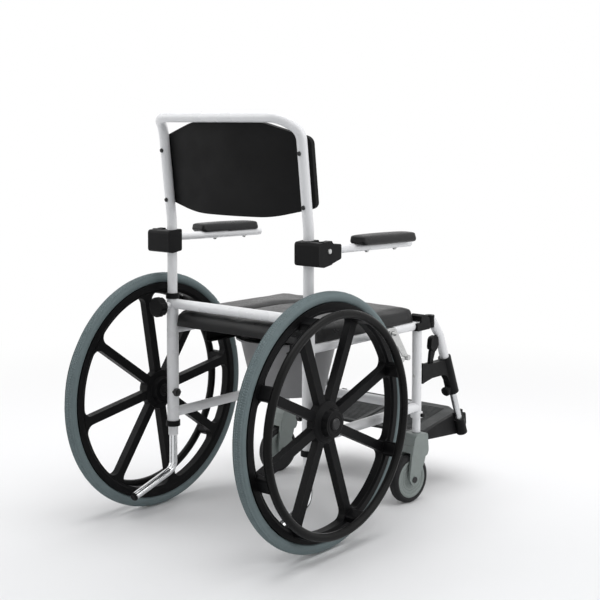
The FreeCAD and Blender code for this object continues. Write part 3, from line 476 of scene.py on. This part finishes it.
finishes = {
    "white_frame": paintedFinish("whitePowderCoat", {
        "colour": (0.74, 0.745, 0.76, 1), "toneChange": 0.02, "cloud": 14, "gloss": (0.24, 0.36),
        "wearAndHighlight": (0.50, 0.50, 0.50, 1), "wearAndHighlightAmount": 0.25, "peel": 900, "depth": 0.00006,
        "coat": 0.25}),
    "chrome_tube": metalFinish("chromedTube", {
        "colour": (0.72, 0.73, 0.74, 1), "stretch": (500, 500, 20), "gloss": (0.10, 0.22),
        "wearAndHighlight": (0.45, 0.45, 0.45, 1), "wearAndHighlightAmount": 0.3, "depth": 0.00002, "metallic": 1.0}),
    "silver_tube": metalFinish("satinAluminium", {
        "colour": (0.60, 0.61, 0.62, 1), "stretch": (700, 700, 14), "gloss": (0.24, 0.38),
        "wearAndHighlight": (0.72, 0.72, 0.72, 1), "wearAndHighlightAmount": 0.35, "depth": 0.00003, "metallic": 1.0}),
    "steel_parts": metalFinish("zincPlatedSteel", {
        "colour": (0.55, 0.555, 0.55, 1), "stretch": (260, 260, 260), "gloss": (0.25, 0.42),
        "wearAndHighlight": (0.70, 0.70, 0.70, 1), "wearAndHighlightAmount": 0.5, "depth": 0.00004, "metallic": 1.0}),
    "black_moulding": grainedFinish("blackNylon", {
        "colour": (0.0065, 0.0065, 0.007, 1), "toneChange": 0.15, "cloud": 30,
        "gloss": (0.36, 0.50), "wearAndHighlight": (0.045, 0.045, 0.045, 1), "wearAndHighlightAmount": 0.5, "grain": 900,
        "depth": 0.00008, "specular": 0.09}),
    "wheel_black": grainedFinish("wheelNylon", {
        "colour": (0.0045, 0.0045, 0.005, 1), "toneChange": 0.18, "cloud": 16,
        "gloss": (0.34, 0.48), "wearAndHighlight": (0.04, 0.04, 0.04, 1), "wearAndHighlightAmount": 0.55, "grain": 700,
        "depth": 0.00006, "specular": 0.08}),
    "handrim_black": grainedFinish("handrimCoating", {
        "colour": (0.0045, 0.0045, 0.0045, 1), "toneChange": 0.12, "cloud": 22,
        "gloss": (0.26, 0.40), "wearAndHighlight": (0.05, 0.05, 0.05, 1), "wearAndHighlightAmount": 0.3, "grain": 1200,
        "depth": 0.00003, "specular": 0.11}),
    "slate_tyre": grainedFinish("slateTyreRubber", {
        "colour": (0.140, 0.182, 0.190, 1), "toneChange": 0.12, "cloud": 18,
        "gloss": (0.50, 0.68), "wearAndHighlight": (0.22, 0.27, 0.28, 1), "wearAndHighlightAmount": 0.5, "grain": 800,
        "depth": 0.00006, "specular": 0.35}),
    "castor_black": grainedFinish("castorRubber", {
        "colour": (0.014, 0.014, 0.015, 1), "toneChange": 0.15, "cloud": 40,
        "gloss": (0.45, 0.62), "wearAndHighlight": (0.06, 0.06, 0.06, 1), "wearAndHighlightAmount": 0.5, "grain": 900,
        "depth": 0.00006, "specular": 0.18}),
    "castor_grey": grainedFinish("castorPlastic", {
        "colour": (0.225, 0.255, 0.245, 1), "toneChange": 0.10, "cloud": 35,
        "gloss": (0.36, 0.50), "wearAndHighlight": (0.36, 0.39, 0.39, 1), "wearAndHighlightAmount": 0.5, "grain": 1000,
        "depth": 0.00005, "specular": 0.4}),
    "pad_black": grainedFinish("mouldedFoamSkin", {
        "colour": (0.0065, 0.0065, 0.007, 1), "toneChange": 0.12, "cloud": 18,
        "gloss": (0.27, 0.38), "wearAndHighlight": (0.03, 0.03, 0.03, 1), "wearAndHighlightAmount": 0.2, "grain": 620,
        "depth": 0.00010, "specular": 0.24, "sheen": 0.02}),
    "panel_black": grainedFinish("panelFoamSkin", {
        "colour": (0.0075, 0.0075, 0.0078, 1), "toneChange": 0.10, "cloud": 12,
        "gloss": (0.55, 0.70), "wearAndHighlight": (0.03, 0.03, 0.03, 1), "wearAndHighlightAmount": 0.3, "grain": 520,
        "depth": 0.00010, "specular": 0.12}),
    "pail_grey": grainedFinish("pailPlastic", {
        "colour": (0.250, 0.250, 0.256, 1), "toneChange": 0.04, "cloud": 9,
        "gloss": (0.36, 0.48), "wearAndHighlight": (0.5, 0.5, 0.5, 1), "wearAndHighlightAmount": 0.3, "grain": 1400,
        "depth": 0.00003, "specular": 0.4}),
    "plate_grey": grainedFinish("footplatePlastic", {
        "colour": (0.030, 0.032, 0.033, 1), "toneChange": 0.12, "cloud": 25,
        "gloss": (0.42, 0.58), "wearAndHighlight": (0.12, 0.12, 0.12, 1), "wearAndHighlightAmount": 0.5, "grain": 700,
        "depth": 0.00009, "specular": 0.25}),
}


blackenedSteel = metalFinish("blackenedSteel", {
    "colour": (0.022, 0.022, 0.023, 1), "stretch": (260, 260, 260), "gloss": (0.34, 0.50),
    "wearAndHighlight": (0.16, 0.16, 0.16, 1), "wearAndHighlightAmount": 0.5, "depth": 0.00004, "metallic": 0.6})
darkNodes = ("wheel_axles", "wheel_bearings_l", "wheel_bearings_r", "back_screws",
             "castor_axle_l", "castor_axle_r")


def dressCadNodes():
    for part in frame["record"]["subparts"]:
        node = cadNodes[part["node"]]
        finish = finishes[part["material_slot"]]
        if part["node"] in darkNodes:
            finish = blackenedSteel
        for holder in node.material_slots:
            holder.material = finish


dressCadNodes()
print("finishes laid on the CAD nodes")


# ---- padded pieces, swollen from their solids

def bakeMesh(piece):
    shown = piece.evaluated_get(bpy.context.evaluated_depsgraph_get())
    baked = bpy.data.meshes.new_from_object(shown)
    piece.modifiers.clear()
    piece.data = baked


def inBox(point, low, high, grow):
    return all(low[i] - grow < point[i] < high[i] + grow for i in range(3))


def swollenPad(name, node, body, settings):
    # The underside and the walls of an opening stay put; the rest swells like foam.
    mesh = cadNodes[node].data.copy()
    mesh.materials.clear()
    piece = bpy.data.objects.new(name, mesh)
    bpy.context.scene.collection.objects.link(piece)
    shape = bmesh.new()
    shape.from_mesh(mesh)
    bmesh.ops.remove_doubles(shape, verts=shape.verts, dist=0.0001)
    shape.to_mesh(mesh)
    shape.free()
    even = piece.modifiers.new("even", "REMESH")
    even.mode = "VOXEL"
    even.voxel_size = settings["voxel"]
    bakeMesh(piece)

    shape = bmesh.new()
    shape.from_mesh(piece.data)
    shape.normal_update()
    bmesh.ops.smooth_vert(shape, verts=shape.verts, factor=0.5, use_axis_x=True,
                          use_axis_y=True, use_axis_z=True)
    shape.normal_update()
    low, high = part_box(node)
    heldUp = low[2] + (high[2] - low[2]) * settings["heldHeight"]
    held = []
    for vert in shape.verts:
        walls = (settings["opening"] and vert.normal.z < settings["wallNormal"]
                 and inBox(vert.co, *settings["opening"], settings["wallReach"]))
        if vert.normal.z < -0.35 or vert.co.z < heldUp or walls:
            held.append(vert.index)
        else:
            vert.co -= vert.normal * settings["drawnIn"]
    shape.to_mesh(piece.data)
    shape.free()

    pinned = piece.vertex_groups.new(name="held")
    pinned.add(held, 1.0, "REPLACE")
    start = [vert.co.copy() for vert in piece.data.vertices]
    cloth = piece.modifiers.new("foam", "CLOTH")
    cloth.settings.vertex_group_mass = "held"
    cloth.settings.use_pressure = True
    cloth.settings.uniform_pressure_force = settings["pressure"]
    cloth.settings.effector_weights.gravity = 0
    cloth.settings.quality = 4
    for step in range(1, 21):
        bpy.context.scene.frame_set(step)
    bakeMesh(piece)
    for vert, first in zip(piece.data.vertices, start):
        move = vert.co - first
        if move.length > settings["cap"]:
            vert.co = first + move.normalized() * settings["cap"]
    bpy.context.scene.frame_set(1)
    shape = bmesh.new()
    shape.from_mesh(piece.data)
    stay = set(held)
    loose = [vert for vert in shape.verts if vert.index not in stay]
    for _ in range(settings["calm"]):
        bmesh.ops.smooth_vert(shape, verts=loose, factor=0.5, use_axis_x=True,
                              use_axis_y=True, use_axis_z=True)
    shape.to_mesh(piece.data)
    shape.free()

    rounder = piece.modifiers.new("rounder", "SUBSURF")
    rounder.levels = settings["levels"]
    rounder.render_levels = settings["levels"]
    bakeMesh(piece)
    piece.vertex_groups.clear()
    piece.data.polygons.foreach_set("use_smooth", [True] * len(piece.data.polygons))
    piece.data.materials.append(finishes["pad_black"])
    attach(piece, body)
    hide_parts(node)
    return piece


seatSettings = {
    "voxel": 0.005, "heldHeight": 0.35, "drawnIn": 0.0015, "pressure": 4, "cap": 0.006,
    "calm": 6, "wallNormal": 0.6, "wallReach": 0.012,
    "levels": 1, "fill": 0.9, "opening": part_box("seat_insert"),
}
insertSettings = {
    "voxel": 0.004, "heldHeight": 0.8, "drawnIn": 0.001, "pressure": 2, "cap": 0.002,
    "calm": 14,
    "levels": 1, "fill": 0.9, "opening": None,
}
armPadSettings = {
    "voxel": 0.004, "heldHeight": 0.45, "drawnIn": 0.0015, "pressure": 4, "cap": 0.004,
    "calm": 4,
    "levels": 1, "fill": 0.8, "opening": None,
}

swollenPad("seatCushion", "seat", "frame", seatSettings)
swollenPad("insertCushion", "seat_insert", "seat_insert", insertSettings)
for side, _ in sides:
    swollenPad("armCushion_" + side, "arm_pad_" + side, "armrest_" + side, armPadSettings)
print("padded pieces ready")


# ---- tyres with a small block tread

def addPiece(name, shape, body, slot, nodes=(), smooth=True):
    mesh = bpy.data.meshes.new(name)
    shape.to_mesh(mesh)
    shape.free()
    piece = bpy.data.objects.new(name, mesh)
    bpy.context.scene.collection.objects.link(piece)
    mesh.polygons.foreach_set("use_smooth", [smooth] * len(mesh.polygons))
    mesh.materials.append(finishes[slot])
    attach(piece, body)
    if nodes:
        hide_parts(*nodes)
    return piece


def middleOf(node):
    low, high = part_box(node)
    return (Vector(low) + Vector(high)) / 2


tyreSettings = {
    "steps": 942,             # a block and its groove take three of these
    "profilePoints": 56,
    "treadHalf": 0.0125,      # half the width of the blocks' band
    "columns": 4,
    "grooveDepth": 0.0022,
    "columnGroove": 0.0011,   # half the width of the grooves that run round the tyre
    "seatSink": 0.0006,       # how far the bead goes into the rim's channel
    "beadFullness": 0.62,     # below 1 the side is fuller than an ellipse
    "crownFullness": 0.85,
    "crownStart": 0.55,       # from here up, counted from the middle, the crown is flattened
    "crownPower": 0.75,
    "treadStart": 0.25,
}


def buildTyre(side, settings):
    node = "tyre_" + side
    low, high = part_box(node)
    centre = middleOf(node)
    outer = (high[2] - low[2]) / 2
    half = (high[0] - low[0]) / 2
    rimLow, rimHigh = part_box("wheel_" + side)
    inner = (rimHigh[2] - rimLow[2]) / 2 - settings["seatSink"]
    shape = bmesh.new()
    ring = bmesh.ops.create_circle(shape, segments=settings["profilePoints"], radius=1)
    middle = (outer + inner) / 2
    reach = (outer - inner) / 2
    crown, power = settings["crownStart"], settings["crownPower"]
    for vert in ring["verts"]:
        across, up = vert.co.x, vert.co.y
        fullness = settings["beadFullness"] if up < 0 else settings["crownFullness"]
        bulge = abs(across) ** fullness
        vert.co = Vector((math.copysign(bulge, across) * half, 0, middle + up * reach))
        if up > crown:
            flattened = (up - crown) ** power * (1 - crown) ** (1 - power)
            vert.co.z = middle + reach * (crown + flattened)
    bmesh.ops.spin(shape, geom=shape.verts[:] + shape.edges[:], cent=(0, 0, 0),
                   axis=(1, 0, 0), angle=math.tau, steps=settings["steps"], use_merge=True)
    pitch = 2 * settings["treadHalf"] / settings["columns"]
    turnStep = math.tau / settings["steps"]
    treadFoot = middle + settings["treadStart"] * reach
    for vert in shape.verts:
        distance = math.hypot(vert.co.y, vert.co.z)
        if distance < treadFoot or abs(vert.co.x) > settings["treadHalf"] * 1.06:
            continue
        place = round(math.atan2(vert.co.z, vert.co.y) / turnStep)
        offset = (vert.co.x + settings["treadHalf"]) % pitch
        column = int((vert.co.x + settings["treadHalf"]) // pitch)
        between = min(offset, pitch - offset) < settings["columnGroove"]
        if between or (place + 2 * (column % 2)) % 3 == 0:
            sink = settings["grooveDepth"] / distance
            vert.co.y -= vert.co.y * sink
            vert.co.z -= vert.co.z * sink
    bmesh.ops.remove_doubles(shape, verts=shape.verts, dist=0.00001)
    bmesh.ops.translate(shape, verts=shape.verts, vec=centre)
    bmesh.ops.recalc_face_normals(shape, faces=shape.faces)
    addPiece("treadedTyre_" + side, shape, "wheel_" + side, "slate_tyre", [node], smooth=False)


for side, _ in sides:
    buildTyre(side, tyreSettings)
print("tyres ready")


# ---- ringed hub covers and castor discs

def spunRing(shape, profile, centre, axis, steps):
    # The profile's points give distance from the axle and place along it.
    axis = Vector(axis).normalized()
    outward = axis.orthogonal().normalized()
    verts = [shape.verts.new(centre + outward * radius + axis * along)
             for radius, along in profile]
    edges = [shape.edges.new((verts[i - 1], verts[i])) for i in range(len(verts))
             if profile[i - 1][0] > 0 or profile[i][0] > 0]
    bmesh.ops.spin(shape, geom=verts + edges, cent=centre, axis=axis, angle=math.tau,
                   steps=steps, use_merge=True)
    bmesh.ops.remove_doubles(shape, verts=shape.verts, dist=0.000005)
    bmesh.ops.recalc_face_normals(shape, faces=shape.faces)


hubCoverSettings = {
    "outer": 0.0295, "ring": 0.0175, "hole": 0.0142, "proud": 0.0016, "ringProud": 0.0028,
    "sunk": 0.0006, "steps": 96,
}


def buildHubCover(side, sign, settings):
    low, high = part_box("wheel_bearings_" + side)
    face = (high[0] if sign > 0 else low[0])
    centre = middleOf("tyre_" + side)
    centre.x = face
    back, top, crest = -settings["sunk"], settings["proud"], settings["ringProud"]
    profile = [(settings["hole"], back), (settings["hole"], crest - 0.0006),
               (settings["hole"] + 0.0007, crest), (settings["ring"] - 0.0007, crest),
               (settings["ring"], crest - 0.0007), (settings["ring"] + 0.0012, top * 0.4),
               (settings["ring"] + 0.0030, top * 0.6), (settings["outer"] - 0.0045, top),
               (settings["outer"] - 0.0015, top * 0.7), (settings["outer"], back)]
    shape = bmesh.new()
    spunRing(shape, [(r, a * sign) for r, a in profile], centre, (1, 0, 0),
             settings["steps"])
    addPiece("hubCover_" + side, shape, "wheel_" + side, "wheel_black")


castorDiscSettings = {"rim": 0.049, "half": 0.0125, "bore": 0.0054, "groove": 0.0009,
                      "steps": 96}


def buildCastorDisc(side, sign, settings):
    node = "castor_core_" + side
    spin = next(joint for joint in frame["record"]["behaviour"]["joints"]
                if joint["name"] == "castor_spin_" + side)
    axis = Vector(spin["axis"])
    centre = Vector(spin["pos_m"])
    half, deep = settings["half"], settings["groove"]
    outline = [(settings["bore"], half + 0.002), (0.0150, half + 0.002), (0.0165, half + 0.001),
               (0.0190, half - 0.0022), (0.0235, half - 0.0026), (0.0240, half - 0.0026 - deep),
               (0.0250, half - 0.0026 - deep), (0.0255, half - 0.0025), (0.0305, half - 0.0023),
               (0.0310, half - 0.0023 - deep), (0.0320, half - 0.0023 - deep),
               (0.0325, half - 0.0022), (0.0375, half - 0.0020), (0.0385, half - 0.0028),
               (0.0395, half - 0.0028), (0.0410, half - 0.0006), (0.0425, half),
               (settings["rim"] - 0.0006, half), (settings["rim"], half - 0.0006)]
    profile = outline + [(radius, -along) for radius, along in reversed(outline)]
    shape = bmesh.new()
    spunRing(shape, profile, centre, axis, settings["steps"])
    addPiece("castorDisc_" + side, shape, "castor_wheel_" + side, "castor_grey", [node])


for side, sign in sides:
    buildHubCover(side, sign, hubCoverSettings)
    buildCastorDisc(side, sign, castorDiscSettings)
print("hub covers and castor discs ready")


# ---- screws under the armrest tubes

armScrewSettings = {
    "alongPad": (0.22, 0.74),        # places along the pad, from its front
    "washer": 0.0060, "head": 0.0042, "socket": 0.0020, "rise": 0.0036, "steps": 32,
}


def buildArmScrews(side, settings):
    tube = "arm_tube_" + side
    pivot = Vector(next(joint["pos_m"] for joint in frame["record"]["behaviour"]["joints"]
                        if joint["name"] == "armrest_flip_" + side))
    low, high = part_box(tube)
    radius = (high[0] - low[0]) / 2
    front = Vector((pivot.x, low[1], low[2] + radius))
    along = (front - pivot).normalized()
    down = Vector((0, along.z, -along.y)).normalized()
    if down.z > 0:
        down.negate()
    padLow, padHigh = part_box("arm_pad_" + side)
    washer, head, rise = settings["washer"], settings["head"], settings["rise"]
    profile = [(0, -0.0012), (washer, -0.0012), (washer, 0.0006), (head + 0.0002, 0.0011),
               (head, rise - 0.0009), (head - 0.0009, rise), (settings["socket"], rise),
               (settings["socket"], rise - 0.0016), (0, rise - 0.0016)]
    shape = bmesh.new()
    for share in settings["alongPad"]:
        reach = padLow[1] + (padHigh[1] - padLow[1]) * share
        spot = pivot + along * ((reach - pivot.y) / along.y) + down * radius
        spunRing(shape, profile, spot, down, settings["steps"])
    addPiece("armScrews_" + side, shape, "armrest_" + side, "steel_parts")


for side, _ in sides:
    buildArmScrews(side, armScrewSettings)
print("armrest screws ready")
